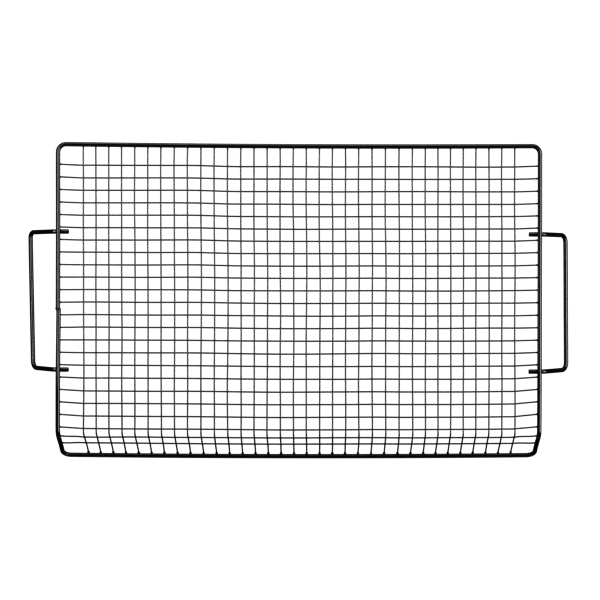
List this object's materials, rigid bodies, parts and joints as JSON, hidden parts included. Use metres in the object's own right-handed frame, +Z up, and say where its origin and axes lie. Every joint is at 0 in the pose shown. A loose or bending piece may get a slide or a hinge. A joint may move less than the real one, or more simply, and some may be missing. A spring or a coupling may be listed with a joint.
{
  "type": "cooling rack",
  "caption": "Welded wire cooling rack: a bent rod frame with a folded front lip, a fine mesh of crossed wires and a sloping U-shaped handle on each side.",
  "frame": {"origin": "on the floor, under the middle of the rack's bounding box", "axes": "+X to the right along the long wires, +Y from the folded lip to the back rail, +Z up out of the deck"},
  "size_m": [0.717, 0.4146, 0.0488],
  "materials": {
    "coated_rod": "gloss",
    "coated_wire": "gloss",
    "weld": "satin"
  },
  "bodies": {
    "root": {"frame_rod": "coated_rod", "frame_butt_weld": "weld", "left_handle": "coated_rod", "right_handle": "coated_rod", "left_handle_welds": "weld", "right_handle_welds": "weld", "back_wire_welds": "weld", "front_wire_welds": "weld", "left_wire_welds": "weld", "right_wire_welds": "weld", "cross_wire_01": "coated_wire", "cross_wire_02": "coated_wire", "cross_wire_03": "coated_wire", "cross_wire_04": "coated_wire", "cross_wire_05": "coated_wire", "cross_wire_06": "coated_wire", "cross_wire_07": "coated_wire", "cross_wire_08": "coated_wire", "cross_wire_09": "coated_wire", "cross_wire_10": "coated_wire", "cross_wire_11": "coated_wire", "cross_wire_12": "coated_wire", "cross_wire_13": "coated_wire", "cross_wire_14": "coated_wire", "cross_wire_15": "coated_wire", "cross_wire_16": "coated_wire", "cross_wire_17": "coated_wire", "cross_wire_18": "coated_wire", "cross_wire_19": "coated_wire", "cross_wire_20": "coated_wire", "cross_wire_21": "coated_wire", "cross_wire_22": "coated_wire", "cross_wire_23": "coated_wire", "cross_wire_24": "coated_wire", "cross_wire_25": "coated_wire", "cross_wire_26": "coated_wire", "cross_wire_27": "coated_wire", "cross_wire_28": "coated_wire", "cross_wire_29": "coated_wire", "cross_wire_30": "coated_wire", "cross_wire_31": "coated_wire", "cross_wire_32": "coated_wire", "cross_wire_33": "coated_wire", "cross_wire_34": "coated_wire", "long_wire_pair_01": "coated_wire", "long_wire_pair_02": "coated_wire", "long_wire_pair_03": "coated_wire", "long_wire_pair_04": "coated_wire", "long_wire_pair_05": "coated_wire", "long_wire_pair_06": "coated_wire", "long_wire_pair_07": "coated_wire", "long_wire_pair_08": "coated_wire", "long_wire_pair_09": "coated_wire", "long_wire_pair_10": "coated_wire", "long_wire_pair_11": "coated_wire", "long_wire_pair_12": "coated_wire"}
  },
  "joints": []
}
